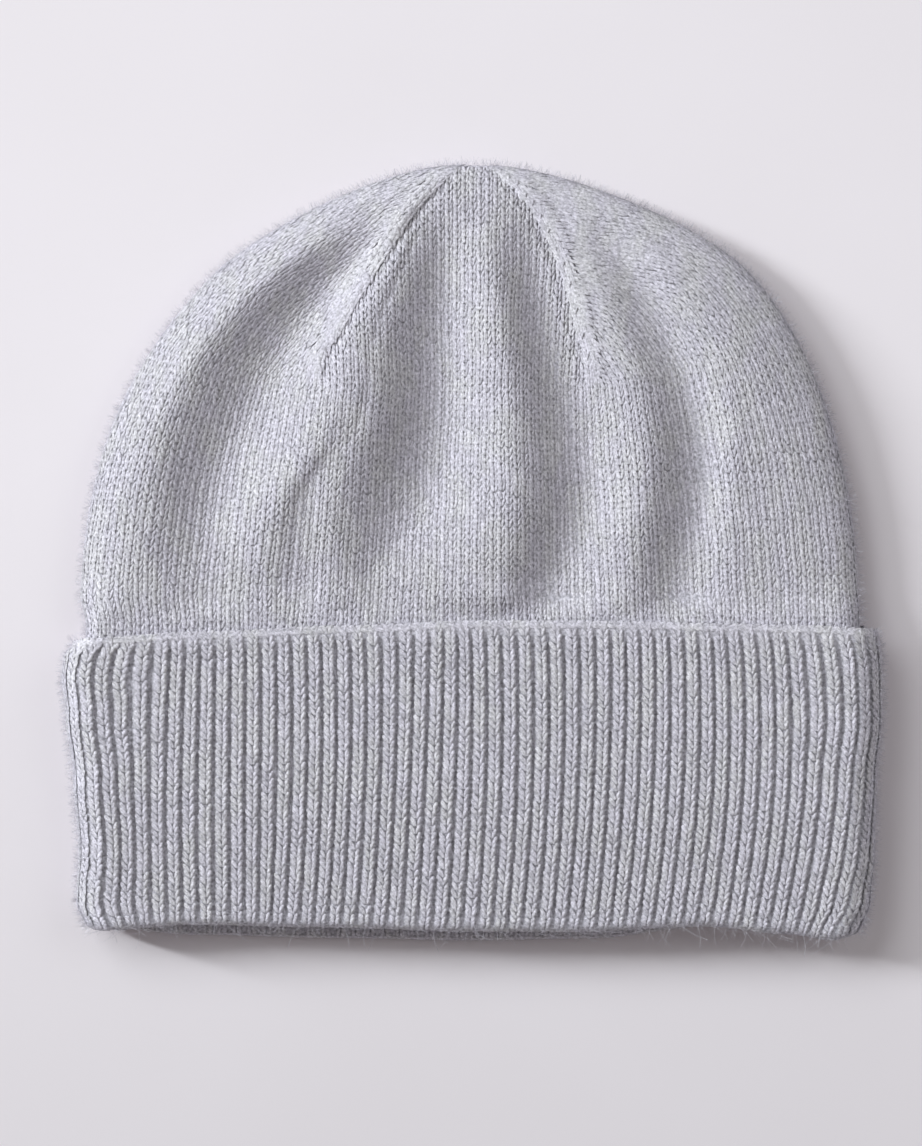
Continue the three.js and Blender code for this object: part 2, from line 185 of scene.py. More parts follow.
def fold_rise(x, y, inside):
    """Height of the soft folds over the crown's front."""
    lines, rises = (
        np.array([np.interp(y, *curves[number].T) for curves in fold_curves]) for number in (0, 1)
    )
    after = np.clip((lines < x).sum(0), 1, len(FOLDS) - 1)
    column = np.arange(len(x))
    share = eased(lines[after - 1, column], lines[after, column], x)
    start, end = rises[after - 1, column], rises[after, column]
    rise = start + (end - start) * share
    rise *= eased(*FOLDS_START_Y, y)
    rise *= 1 - eased(*FOLDS_END_Y, y)
    return rise * eased(*FOLDS_START_INSIDE, inside)


def seam_rise(x, y, sunk):
    """Height of the raised band beyond each seam of the front, and of the groove before it.
    The sunk ground behind the stitches only has a wide trough there."""
    rise = np.zeros(len(x))
    for name, curve in seam_curves.items():
        slope = np.interp(y, curve[:, 0], np.gradient(curve[:, 1], curve[:, 0]))
        off = (x - np.interp(y, curve[:, 0], curve[:, 1])) / np.hypot(1, slope)
        off *= -1 if name == "left" else 1
        band = eased(*SEAM_BAND_NEAR_SIDE, off) - eased(*SEAM_BAND_FAR_SIDE, off)
        from_groove = np.abs(off + SEAM_GROOVE_OFFSET)
        groove = 1 - eased(*SEAM_GROOVE_SIDE, from_groove)
        trough = 1 - eased(*SEAM_TROUGH_SIDE, from_groove)
        rise += np.where(sunk, -SEAM_TROUGH * trough, SEAM_RAISE * band - SEAM_GROOVE * groove)
    return rise * eased(*SEAM_RISES_Y, y) * (1 - eased(*SEAM_FADES_Y, y))


def crown_surface(plan, face, sunk=False):
    """Puts places given from above onto the crown's outside."""
    x, y = plan[:, 0], plan[:, 1]
    inside = rim_distance(x, y)
    out_of_cuff = eased(*CUFF_EDGE_Y, y)
    cuff_middle = CUFF_THICKNESS / 2
    hidden_half = cuff_middle - CUFF_OUTER_WALL - LAYER_GAP
    top = cuff_middle + hidden_half + (CROWN_REST_TOP - cuff_middle - hidden_half) * out_of_cuff
    bottom = (cuff_middle - hidden_half) * (1 - out_of_cuff)
    middle = (top + bottom) / 2
    reach = hidden_half + (EDGE_REACH[face] - hidden_half) * out_of_cuff
    rounded = np.sqrt(1 - (1 - np.minimum(1, inside / reach)) ** 2)
    surface = bottom
    if face > 0:
        surface = top + fold_rise(x, y, inside) + seam_rise(x, y, sunk)
    return np.column_stack((x, y, middle + (surface - middle) * rounded))


# The jersey's stitches: rows run level over the front and turn up to the rim beyond a seam,
# columns run up from the cuff. Each stitch is a V of two wool strands. In the band along a
# seam the strands are thicker and stand higher, and near the tip the bands grow narrow.
ROWS_TO_SEAMS = 37
ROWS_TO_TIP = 72
ROWS_IN_CUFF = 4
COLUMNS = {"short side": 25, "long side": 32, "middle": 36}
BAND_COLUMNS = 2
LEAST_SIDE_COLUMNS = 5
SEAM_OVERLAP = 0.6
MIDDLE_FAN = 0.12
WAVES = 8
WAVE_TURN = 0.8
RIM_ROW = (SEAM_START_Y - CROWN_BASE_Y) / ROWS_TO_SEAMS
RIM_STRETCH_POWER = 2.2
RIM_LENGTH = np.linalg.norm(np.diff(RIMS[-1], axis=0), axis=1).sum()
FLAT_BEYOND_EDGE = 200


def rolled_edge(face):
    """Distances over the rounded edge, and how far in from above each of them reaches."""
    turn = np.linspace(0, np.pi / 2, 80)
    reach = EDGE_REACH[face] * (1 - np.cos(turn))
    height = CROWN_REST_TOP / 2 * np.sin(turn)
    over = np.concatenate(((0,), np.cumsum(np.hypot(np.diff(reach), np.diff(height)))))
    return [np.append(line, line[-1] + FLAT_BEYOND_EDGE) for line in (over, reach)]


EDGE_ROLLS = {face: rolled_edge(face) for face in (1, -1)}
ROLL_EXTRA = {face: EDGE_ROLLS[face][0][-2] - EDGE_ROLLS[face][1][-2] for face in (1, -1)}


def roll_plan(face, surface_distance):
    """How far in from above a place is that lies this far over the rounded edge."""
    return np.interp(surface_distance, *EDGE_ROLLS[face])


def row_level(row):
    """The height of a row at the crown's middle, where rows crowd towards the tip."""
    share = np.clip((row - ROWS_TO_SEAMS) / (ROWS_TO_TIP - ROWS_TO_SEAMS), 0, 1)
    low = CROWN_BASE_Y + (SEAM_START_Y - CROWN_BASE_Y) * row / ROWS_TO_SEAMS
    left = (TIP_Y - SEAM_START_Y + ROLL_EXTRA[1]) * (1 - share)
    return np.where(row <= ROWS_TO_SEAMS, low, TIP_Y - roll_plan(1, left))


def rim_place(side, row):
    """Rows lie evenly up the rim at first, and further and further apart towards the tip."""
    line = RIMS[side]
    steps = np.linalg.norm(np.diff(line, axis=0), axis=1)
    travel = np.concatenate(((0,), np.cumsum(steps)))
    share = np.clip(row / ROWS_TO_TIP, 0, 1)
    stretch = (RIM_LENGTH - RIM_ROW * ROWS_TO_TIP) * share ** RIM_STRETCH_POWER
    along_rim = RIM_ROW * row + stretch
    y = row_level(row)
    widening = CROWN_HIDDEN_WIDENING * (CROWN_BASE_Y - y) / (CROWN_BASE_Y - JOIN_Y)
    x = np.interp(along_rim, travel, line[:, 0])
    x = np.where(row < 0, side * (CROWN_HALF_WIDTH + widening), x)
    return np.column_stack((x, np.where(row < 0, y, np.interp(along_rim, travel, line[:, 1]))))


def seam_place(face, side, row):
    y = row_level(row)
    curve = seam_curves["left" if side * face < 0 else "right"]
    x = np.interp(y, curve[:, 0], curve[:, 1])
    return np.column_stack((x * face, y))


def seam_span(face, row):
    """Where the left and the right seam cross a row."""
    return (seam_place(face, side, row)[:, 0] for side in (-1, 1))


def side_length(face, side, row):
    gap = seam_place(face, side, row) - rim_place(side, row)
    return np.maximum(np.linalg.norm(gap, axis=1), 1e-6)


def side_columns(face, side):
    return COLUMNS["short side" if side * face < 0 else "long side"]


def side_spacing(face, side, row):
    """Width of one column of stitches between the rim and the seam."""
    lower = np.minimum(row, ROWS_TO_SEAMS)
    return (side_length(face, side, lower) + ROLL_EXTRA[face]) / side_columns(face, side)


def side_plan(face, side, row, distance):
    """A place on a row, this far over the surface from the rim towards the seam."""
    rim = rim_place(side, row)
    direction = (seam_place(face, side, row) - rim) / side_length(face, side, row)[:, None]
    return rim + direction * roll_plan(face, distance)[:, None]


def band_spacing(face, side, row):
    narrowest = side_length(face, side, row) / LEAST_SIDE_COLUMNS
    return np.minimum(side_spacing(face, side, row), narrowest)


def band_plan(face, side, row, column):
    """A place in the band along a seam; the column counts from the seam outwards."""
    rim = rim_place(side, row)
    seam = seam_place(face, side, row)
    direction = (rim - seam) / side_length(face, side, row)[:, None]
    return seam + direction * (column * band_spacing(face, side, row))[:, None]


def middle_plan(face, row, column):
    """A place between the seams; above their start the columns fan out and end at a seam."""
    y = row_level(row)
    count = COLUMNS["middle"]
    left, right = seam_span(face, row)
    level = left + (right - left) * column / count
    left, right = seam_span(face, np.full(1, ROWS_TO_SEAMS))
    fan = 1 + MIDDLE_FAN * (y - SEAM_START_Y) / (TIP_Y - SEAM_START_Y)
    upper = (left + right) / 2 + (column - count / 2) * (right - left) / count * fan
    return np.column_stack((np.where(row <= ROWS_TO_SEAMS, level, upper), y))


def stitch_frames(place, row, column, face=1, turned=1, row_reach=0.5, width=None):
    """Middle, up, across and facing of each stitch, from a place function of row and column.
    Across is one column wide, or else this width."""
    up = place(row + row_reach, column) - place(row - row_reach, column)
    across = (place(row, column + 0.5) - place(row, column - 0.5)) * turned
    if width:
        across *= width / np.linalg.norm(across, axis=1)[:, None]
    facing = np.cross(across, up) * face
    facing /= np.maximum(np.linalg.norm(facing, axis=1), 1e-9)[:, None]
    return {"at": place(row, column), "up": up, "across": across, "facing": facing}


def grid_of(rows, columns):
    row, column = np.meshgrid(rows, columns, indexing="ij")
    return row.ravel().astype(float), column.ravel() + 0.5


def unsteady(row, column, seed, rows=0.2, columns=0.05, jitter=0.15):
    """Shifts stitches from their even places: in soft waves, and each a little by itself."""
    rng = np.random.default_rng(seed)
    shifted = []
    least, most = (-WAVE_TURN, -WAVE_TURN, 0), (WAVE_TURN, WAVE_TURN, 2 * np.pi)
    for places, reach, own in ((row, rows, jitter), (column, columns, jitter / 4)):
        turns = rng.uniform(least, most, (WAVES, 3))
        wave = sum(np.sin(up * row + over * column + start) for up, over, start in turns)
        waved = places + reach * wave / np.sqrt(WAVES / 2)
        shifted.append(waved + rng.uniform(-own, own, len(row)))
    return shifted


def side_stitches(face, side):
    count = side_columns(face, side)
    row, column = grid_of(np.arange(-ROWS_IN_CUFF, ROWS_TO_TIP - 1), np.arange(count))
    spacing = side_spacing(face, side, row)
    room = side_length(face, side, row) - (BAND_COLUMNS - 0.5) * band_spacing(face, side, row)
    keep = (row <= ROWS_TO_SEAMS) | (roll_plan(face, column * spacing) < room)
    row, column = unsteady(row[keep], column[keep], 20 + 5 * face + side)

    def place(r, c):
        return crown_surface(side_plan(face, side, r, c * side_spacing(face, side, r)), face)

    return stitch_frames(place, row, column, face, -side)


def band_stitches(face, side):
    row, column = grid_of(np.arange(ROWS_TO_SEAMS + 1, ROWS_TO_TIP - 1), np.arange(BAND_COLUMNS))
    row, column = unsteady(row, column, 80 + 5 * face + side, columns=0.02, jitter=0.06)
    return stitch_frames(
        lambda r, c: crown_surface(band_plan(face, side, r, c), face), row, column, face, side)


def middle_stitches(face):
    rows = np.arange(-ROWS_IN_CUFF, ROWS_TO_TIP - 1)
    row, column = grid_of(rows, np.arange(COLUMNS["middle"]))
    x = middle_plan(face, row, column)[:, 0]
    left, right = seam_span(face, row)
    keep = (row <= ROWS_TO_SEAMS) | ((x > left - SEAM_OVERLAP) & (x < right + SEAM_OVERLAP))
    row, column = unsteady(row[keep], column[keep], 40 + face)
    return stitch_frames(
        lambda r, c: crown_surface(middle_plan(face, r, c), face), row, column, face)


def added(name, data):
    """A new object in the scene."""
    thing = bpy.data.objects.new(name, data)
    bpy.context.scene.collection.objects.link(thing)
    return thing


def mesh_piece(name, points, faces, **vectors):
    """A mesh object from places in millimetres, with its other vectors kept as attributes."""
    mesh = bpy.data.meshes.new(name)
    mesh.from_pydata((points * MM + CAP_SHIFT).tolist(), [], faces)
    for key, value in vectors.items():
        attribute = mesh.attributes.new(key, "FLOAT_VECTOR", "POINT")
        attribute.data.foreach_set("vector", np.ascontiguousarray(value, np.float32).ravel())
    mesh.update()
    return added(name, mesh)


def shown_mesh(piece):
    """What a piece's modifiers make of it, as a plain mesh."""
    evaluated = piece.evaluated_get(bpy.context.evaluated_depsgraph_get())
    return bpy.data.meshes.new_from_object(evaluated)


class Nodes:
    """A node tree under construction, with short forms for the nodes that are used most."""

    def __init__(self, tree):
        self.tree = tree
        self.family = tree.bl_idname.removesuffix("Tree")

    def add(self, kind, settings=None, **links):
        """Adds a node, whose kind is short where it is of the tree's own family. Links give an
        input by name, or by number as in_0, a value or a socket."""
        node = self.tree.nodes.new(kind if "Node" in kind else self.family + kind)
        for key, value in (settings or {}).items():
            setattr(node, key, value)
        for key, value in links.items():
            socket = node.inputs[int(key[3:])] if key.startswith("in_") else node.inputs[key]
            if isinstance(value, bpy.types.NodeSocket):
                self.tree.links.new(value, socket)
            else:
                socket.default_value = value
        return node.outputs

    def put(self, label, socket):
        """Links what the tree is for to its end."""
        self.tree.links.new(socket, self.end[label])

    def math(self, operation, *values):
        links = {f"in_{index}": value for index, value in enumerate(values)}
        return self.add("ShaderNodeMath", {"operation": operation}, **links)[0]

    def times(self, product, *factors):
        for factor in factors:
            product = self.math("MULTIPLY", product, factor)
        return product

    def vector(self, operation, first, second=None):
        links = {"in_0": first}
        if second is not None:
            links["Scale" if operation == "SCALE" else "in_1"] = second
        outputs = self.add("ShaderNodeVectorMath", {"operation": operation}, **links)
        return outputs["Value" if operation in ("LENGTH", "DOT_PRODUCT") else "Vector"]

    def combined(self, **parts):
        return self.add("ShaderNodeCombineXYZ", **parts)[0]

    def split(self, vector):
        return self.add("ShaderNodeSeparateXYZ", Vector=vector)

    def random(self, low, high, seed):
        return self.add("FunctionNodeRandomValue", in_2=low, in_3=high, Seed=seed)[1]

    def stored(self, geometry, name, value, kind="FLOAT", domain="INSTANCE"):
        return self.add(
            "StoreNamedAttribute", {"data_type": kind, "domain": domain},
            Geometry=geometry, Name=name, Value=value)[0]

    def put_finished(self, geometry):
        """Ends a geometry tree with real, smooth meshes that have their finish on."""
        real = self.add("RealizeInstances", Geometry=geometry)[0]
        soft = self.add("SetShadeSmooth", Geometry=real)[0]
        done = self.add("SetMaterial", Geometry=soft, Material=self.given["Finish"])[0]
        self.put("Geometry", done)


def node_group(kind, name, inputs, **outputs):
    """A new group. An input is named with its value, or with its kind if it starts out empty."""
    nodes = Nodes(bpy.data.node_groups.new(name, kind + "NodeTree"))
    for way, sockets in (("INPUT", inputs), ("OUTPUT", outputs)):
        for label, value in sockets.items():
            shape = {float: "Float", int: "Int", tuple: "Color"}.get(type(value), value)
            socket = nodes.tree.interface.new_socket(
                name=label, in_out=way, socket_type="NodeSocket" + shape)
            if shape is not value:
                socket.default_value = value
    nodes.given = nodes.tree.nodes.new("NodeGroupInput").outputs
    nodes.end = nodes.tree.nodes.new("NodeGroupOutput").inputs
    return nodes


def made_by(tree, source, name, **settings):
    """Runs a node tree on a source object, and keeps the result as a plain mesh piece."""
    modifier = source.modifiers.new("build", "NODES")
    modifier.node_group = tree
    for item in tree.interface.items_tree:
        if item.in_out == "INPUT" and item.name in settings:
            modifier[item.identifier] = settings[item.name]
    mesh = shown_mesh(source)
    mesh.name = name
    source.modifiers.remove(modifier)
    bpy.data.objects.remove(source)
    return added(name, mesh)


def stitch_tree():
    """Lays a V of two wool strands at each point, by its up, across and facing."""
    tree = node_group("Geometry", "V stitches", {
        "Geometry": "Geometry",
        "Depth": 0.45 * MM,
        "Width": 0.46,
        "Length": 1.9,
        "Lean": 0.24,
        "Spread": 0.25,
        "Roundness": 0.0,
        "Slant": 0.04,
        "Bias": 0.2,
        "Unevenness": 0.1,
        "Wander": 0.8,
        "Sides": 5,
        "Rings": 3,
        "Seed": 1,
        "Finish": "Material",
    }, Geometry="Geometry")
    given = tree.given
    ball = tree.add(
        "MeshUVSphere", Segments=given["Sides"], Rings=given["Rings"], Radius=0.5)["Mesh"]
    position = tree.add("InputPosition")[0]
    strand = tree.stored(ball, "strand", position, "FLOAT_VECTOR", "POINT")
    up, across, facing = (
        tree.add("InputNamedAttribute", {"data_type": "FLOAT_VECTOR"}, Name=name)["Attribute"]
        for name in ("up", "across", "facing")
    )
    width = tree.vector("LENGTH", across)
    height = tree.vector("LENGTH", up)
    depth = given["Depth"]
    uneven = given["Unevenness"]
    less = tree.math("SUBTRACT", 1.0, uneven)
    more = tree.math("ADD", 1.0, uneven)
    halves = []
    for first_seed, side in ((0.0, -1.0), (10.0, 1.0)):
        seeds = [tree.math("ADD", given["Seed"], first_seed + step) for step in range(4)]
        bias = tree.math("MULTIPLY_ADD", given["Bias"], -side, 1.0)
        swell = tree.times(tree.random(less, more, seeds[0]), bias)
        stretch = tree.random(less, more, seeds[1])
        wander = tree.random(tree.times(uneven, -1.0), uneven, seeds[2])
        slope = tree.math("DIVIDE", tree.times(given["Lean"], width), height)
        lean = tree.math("ARCTANGENT", slope)
        lean = tree.math("ADD", lean, tree.times(wander, given["Wander"]))
        lean = tree.math("MULTIPLY_ADD", given["Slant"], -side, lean)
        sideways = tree.vector("NORMALIZE", across)
        direction = tree.vector(
            "ADD",
            tree.vector("SCALE", tree.vector("NORMALIZE", up), tree.math("COSINE", lean)),
            tree.vector("SCALE", sideways, tree.times(tree.math("SINE", lean), side)),
        )
        tip_out = tree.vector("SCALE", sideways, tree.times(given["Roundness"], side))
        turn = tree.add(
            "FunctionNodeAxesToRotation", {"primary_axis": "Z", "secondary_axis": "Y"},
            **{"Primary Axis": direction, "Secondary Axis": tree.vector("ADD", facing, tip_out)},
        )[0]
        size = tree.combined(
            X=tree.times(width, given["Width"], swell),
            Y=tree.times(depth, swell),
            Z=tree.times(height, given["Length"], stretch),
        )
        out = tree.vector("SCALE", across, tree.times(given["Spread"], side))
        half_down = tree.times(depth, -0.5)
        drop = tree.math("ADD", half_down, tree.times(wander, depth, given["Wander"]))
        down = tree.vector("SCALE", facing, tree.math("MINIMUM", drop, half_down))
        offset = tree.vector("ADD", out, down)
        points = tree.add("SetPosition", Geometry=given["Geometry"], Offset=offset)[0]
        placed = tree.add(
            "InstanceOnPoints", Points=points, Instance=strand, Rotation=turn, Scale=size)[0]
        halves.append(tree.stored(placed, "tone", tree.random(0.0, 1.0, seeds[3])))
    both = tree.tree.nodes.new("GeometryNodeJoinGeometry")
    for half in halves:
        tree.tree.links.new(half, both.inputs[0])
    tree.put_finished(both.outputs[0])
    return tree.tree


# Wool: a pale heather grey, spun from lavender grey and greenish grey fibres, matt and a
# little fuzzy. The same spun look is on every strand, with its own depth on the ground
# behind the strands and on the loose fibres. The colour also holds painted shade: a dark
# line between a strand's two plies, and a darker tone where the knit faces sideways.
PALE_WOOL = (0.805, 0.765, 0.85, 1)
LAVENDER_WOOL = (0.575, 0.54, 0.63, 1)
GREEN_WOOL = (0.60, 0.585, 0.58, 1)
# The ground's wool is the same yarn, painted darker as painted shade in the gaps
SHADED_GROUND_WOOL = (0.54, 0.515, 0.58, 1)
JERSEY_PAINTED_SHADE = 0.965
PATCHES_PER_METRE = 170.0
PATCH_STRETCH = (1.0, 0.45, 1.0)
PATCH_EDGES = (0.42, 0.62)
FLECKS_PER_METRE = 1500.0
FLECK_EDGES = (0.34, 0.66)
FIBRE_GRAIN = (3.2, 3.2, 6.0)
FIBRE_ROUGHNESS = 0.65
FIBRE_EDGES = (0.3, 0.7)
FIBRE_RELIEF = 0.2
STRAND_SHIFT = 40.0
STRAND_TONES = (0.93, 1.07)
PLY_WAVES = 9.0
PLY_SWAY = 0.07
PLY_SHADE_WIDTH = 0.13


def attribute(nodes, name, kind="Vector"):
    return nodes.add("Attribute", {"attribute_name": name})[kind]


def noise(nodes, place, scale, detail, roughness=0.5):
    return nodes.add(
        "TexNoise", Vector=place, Scale=scale, Detail=detail, Roughness=roughness)["Fac"]


def ranged(nodes, value, start=0.0, end=1.0, low=0.0, high=1.0, curve="LINEAR"):
    """Low before start and high past end."""
    return nodes.add(
        "MapRange", {"interpolation_type": curve},
        in_0=value, in_1=start, in_2=end, in_3=low, in_4=high)[0]


def mixed(nodes, share, first, second):
    return nodes.add("Mix", {"data_type": "RGBA"}, in_0=share, in_6=first, in_7=second)[2]


def heather_group():
    """Colour of the spun wool with its painted shade, and the height of its fibres."""
    group = node_group("Shader", "Heather wool", {
        "Pale": PALE_WOOL,
        "Cool": LAVENDER_WOOL,
        "Warm": GREEN_WOOL,
        "Patches": 0.8,
        "Twist": 4.0,
        "Ply": 0.8,
        "Mottle": 0.27,
        "Edge Tone": 0.72,
    }, Color="Color", Height="Float")
    given = group.given
    place = group.add("TexCoord")["Object"]
    tone = attribute(group, "tone", "Fac")
    strand = group.split(attribute(group, "strand"))
    stretched = group.add("Mapping", Vector=place, Scale=PATCH_STRETCH)[0]
    patches = noise(group, stretched, PATCHES_PER_METRE, 3.0)
    flecks = noise(group, place, FLECKS_PER_METRE, 3.0)

    # The fibres wind round the strand, each strand on a part of the pattern of its own
    angle = group.math("ARCTAN2", strand[1], strand[0])
    turned = group.math("MULTIPLY_ADD", strand[2], given["Twist"], angle)
    around = group.combined(
        X=group.math("SINE", turned),
        Y=group.math("COSINE", turned),
        Z=group.math("MULTIPLY_ADD", tone, STRAND_SHIFT, strand[2]),
    )
    grain = group.add("Mapping", Vector=around, Scale=FIBRE_GRAIN)[0]
    fibres = noise(group, grain, 1.0, 4.0, FIBRE_ROUGHNESS)
    patch_share = ranged(group, patches, *PATCH_EDGES, high=given["Patches"])
    shade = mixed(group, patch_share, given["Cool"], given["Warm"])
    shade = mixed(group, ranged(group, fibres, *FIBRE_EDGES), shade, given["Pale"])

    # Painted shade as a dark line between the strand's two plies, random flecks, and painted shade
    # as a darker tone where the knit faces sideways
    weave = group.math("MULTIPLY_ADD", strand[2], PLY_WAVES, tone)
    seam = group.math("MULTIPLY_ADD", group.math("SINE", weave), PLY_SWAY, strand[0])
    from_seam = group.math("ABSOLUTE", seam)
    # Painted shade: the groove between the two plies is a darker line in the colour
    ply_groove_shade = ranged(group, from_seam, 0.0, PLY_SHADE_WIDTH, low=given["Ply"], curve="SMOOTHSTEP")
    fleck = ranged(group, flecks, *FLECK_EDGES, low=-1.0)
    fleck = group.math("MULTIPLY_ADD", fleck, given["Mottle"], 1.0)
    own = ranged(group, tone, low=STRAND_TONES[0], high=STRAND_TONES[1])
    level = group.math("ABSOLUTE", group.split(attribute(group, "facing"))[2])
    painted_side_shade = ranged(group, level, low=given["Edge Tone"])
    gain = group.times(fleck, own, ply_groove_shade, painted_side_shade)
    group.put("Color", group.vector("SCALE", shade, gain))
    group.put("Height", fibres)
    return group.tree


def soft_yarn_group():
    """Bends a strand's own normal towards the knit's, as fuzz round the yarn spreads light."""
    group = node_group("Shader", "Soft yarn", {"Softness": 2.0}, Normal="Vector")
    own = group.add("NewGeometry")["Normal"]
    knit = group.vector("SCALE", attribute(group, "facing"), group.given["Softness"])
    group.put("Normal", group.vector("NORMALIZE", group.vector("ADD", own, knit)))
    return group.tree


heather = heather_group()
soft_yarn = soft_yarn_group()


def new_finish(name, looks):
    """A material whose shader has these looks, and the nodes that go before that shader."""
    material = bpy.data.materials.new(name)
    material.use_nodes = True
    nodes = Nodes(material.node_tree)
    nodes.end = material.node_tree.nodes["Principled BSDF"].inputs
    for label, value in looks.items():
        nodes.end[label].default_value = value
    return material, nodes


def wool_finish(name, colours, bump=0.35, sheen=0.1, softness=2.0, **heather_looks):
    """Matt wool, from its pale, its cool and its warm colour."""
    material, nodes = new_finish(name, {
        "Roughness": 0.9, "Specular IOR Level": 0.15, "Sheen Weight": sheen, "Sheen Roughness": 0.5,
    })
    wool = nodes.add(
        "Group", {"node_tree": heather},
        **dict(zip(("Pale", "Cool", "Warm"), colours)), **heather_looks)
    knit = nodes.add("Group", {"node_tree": soft_yarn}, Softness=softness)["Normal"]
    relief = nodes.add(
        "Bump", Strength=bump, Distance=FIBRE_RELIEF * MM, Height=wool["Height"], Normal=knit)
    nodes.put("Base Color", wool["Color"])
    nodes.put("Normal", relief["Normal"])
    return material


heather_colours = (PALE_WOOL, LAVENDER_WOOL, GREEN_WOOL)
even_wool = {"Ply": 1.0, "Edge Tone": 1.0}
# Painted shade: the crown's jersey is the ribs' wool painted a shade darker all over
jersey_wool = wool_finish("jersey_wool", [
    tuple(part * JERSEY_PAINTED_SHADE for part in colour[:3]) + (1,) for colour in heather_colours
])
shaded_ground_wool = wool_finish("shaded_ground_wool", [SHADED_GROUND_WOOL] * 3, sheen=0.0, Mottle=0.4, **even_wool)


def dressed(piece, *nodes, slot):
    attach(piece, "root")
    if nodes:
        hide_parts(*nodes)


stitches = stitch_tree()


def knitted(name, groups, slot, **settings):
    """One piece of the cap: the strands of these groups of stitches."""
    at, up, across, facing = (
        np.vstack([group[key] for group in groups]) for key in ("at", "up", "across", "facing")
    )
    points = mesh_piece(name + "_points", at, [], up=up * MM, across=across * MM, facing=facing)
    dressed(made_by(stitches, points, name, **settings), slot=slot)


raised = {"Depth": 0.85 * MM, "Width": 0.56, "Length": 2.0, "Lean": 0.2, "Unevenness": 0.06}
for name, groups, sides, rings, strands in (
    ("crown_left_front", [side_stitches(1, -1)], 5, 3, {}),
    ("crown_middle_front", [middle_stitches(1)], 5, 3, {}),
    ("crown_right_front", [side_stitches(1, 1)], 5, 3, {}),
    ("crown_seams_front", [band_stitches(1, -1), band_stitches(1, 1)], 8, 6, raised),
    ("crown_back", [side_stitches(-1, -1), middle_stitches(-1), side_stitches(-1, 1)], 4, 2, {}),
    ("crown_seams_back", [band_stitches(-1, -1), band_stitches(-1, 1)], 6, 4, raised),
):
    knitted(
        name, groups, "jersey_knit",
        Sides=sides, Rings=rings, Seed=len(name), Finish=jersey_wool, **strands)

# The crown's ground: a thin closed shell of plain knit behind the stitches, which shows as the
# dark gaps between them, dark from their depth and from the painted shade of the ground's
# darker wool. It is laid in rings round the crown, which close at the tip, then
# moved in behind the stitches and given its thickness.
GROUND_DEPTH = 0.27
GROUND_THICKNESS = 1.0
SHELL_STEPS = 24
SHELL_ROW_STEP = 1.5
SHELL_TOP_ROW = ROWS_TO_TIP - 0.25
RIM_CROWDING = 1.25
SHORT_SIDE = 1.2 * EDGE_REACH[1]


def crown_rings():
    """Rings of places round the crown's outside, from its lower end up to the tip."""
    lowest = ROWS_TO_SEAMS * (JOIN_Y - CROWN_BASE_Y) / (SEAM_START_Y - CROWN_BASE_Y)
    share = np.linspace(0, 1, SHELL_STEPS + 1) ** RIM_CROWDING
    rings = []
    for row in np.append(np.arange(lowest, SHELL_TOP_ROW, SHELL_ROW_STEP), SHELL_TOP_ROW):
        level = np.full(len(share), row)
        halves = []
        for face in (1, -1):
            parts = []
            for side in (-1, 1):
                length = side_length(face, side, level)
                rolled = side_plan(face, side, level, share * (length + ROLL_EXTRA[face]))
                rim = rim_place(side, level)
                straight = rim + share[:, None] * (seam_place(face, side, level) - rim)
                parts.append(np.where((length < SHORT_SIDE)[:, None], straight, rolled))
            middle = np.linspace(parts[0][-1], parts[1][-1], SHELL_STEPS + 1)[1:-1]
            plan = np.vstack((parts[0], middle, parts[1][::-1]))
            halves.append(crown_surface(plan, face, sunk=True))
        rings.append(np.vstack((halves[0], halves[1][-2:0:-1])))
    return np.array(rings)


def closed_rings(rings, looped=False):
    """Faces between rings of equally many places; looped rings end where they start."""
    count = rings.shape[1]
    faces = []
    for ring in range(len(rings) - (not looped)):
        low, high = ring * count, (ring + 1) % len(rings) * count
        for column in range(count):
            following = (column + 1) % count
            faces.append((low + column, low + following, high + following, high + column))
    return faces


def inward(piece, distance):
    """Moves a mesh in along its own normals."""
    mesh = piece.data
    places = np.empty(3 * len(mesh.vertices))
    normals = np.empty(3 * len(mesh.vertices))
    mesh.vertices.foreach_get("co", places)
    mesh.vertex_normals.foreach_get("vector", normals)
    mesh.vertices.foreach_set("co", places - normals * distance)
    mesh.update()


crown_shell = crown_rings()
shell_columns = crown_shell.shape[1]
shell_points = np.vstack((crown_shell.reshape(-1, 3), crown_surface(np.array([(0.0, TIP_Y)]), 1)))
top_ring = len(shell_points) - 1 - shell_columns
shell_faces = closed_rings(crown_shell) + [
    (top_ring + column, top_ring + (column + 1) % shell_columns, len(shell_points) - 1)
    for column in range(shell_columns)
]
crown_ground = mesh_piece("crown_ground", shell_points, shell_faces)
inward(crown_ground, GROUND_DEPTH * MM)
wall = crown_ground.modifiers.new("wall", "SOLIDIFY")
wall.thickness = GROUND_THICKNESS * MM
wall.offset = -1
thick_mesh = shown_mesh(crown_ground)
crown_ground.modifiers.clear()
crown_ground.data = thick_mesh
crown_ground.data.materials.append(shaded_ground_wool)
crown_ground.data.shade_smooth()
dressed(crown_ground, "crown", slot="jersey_knit")


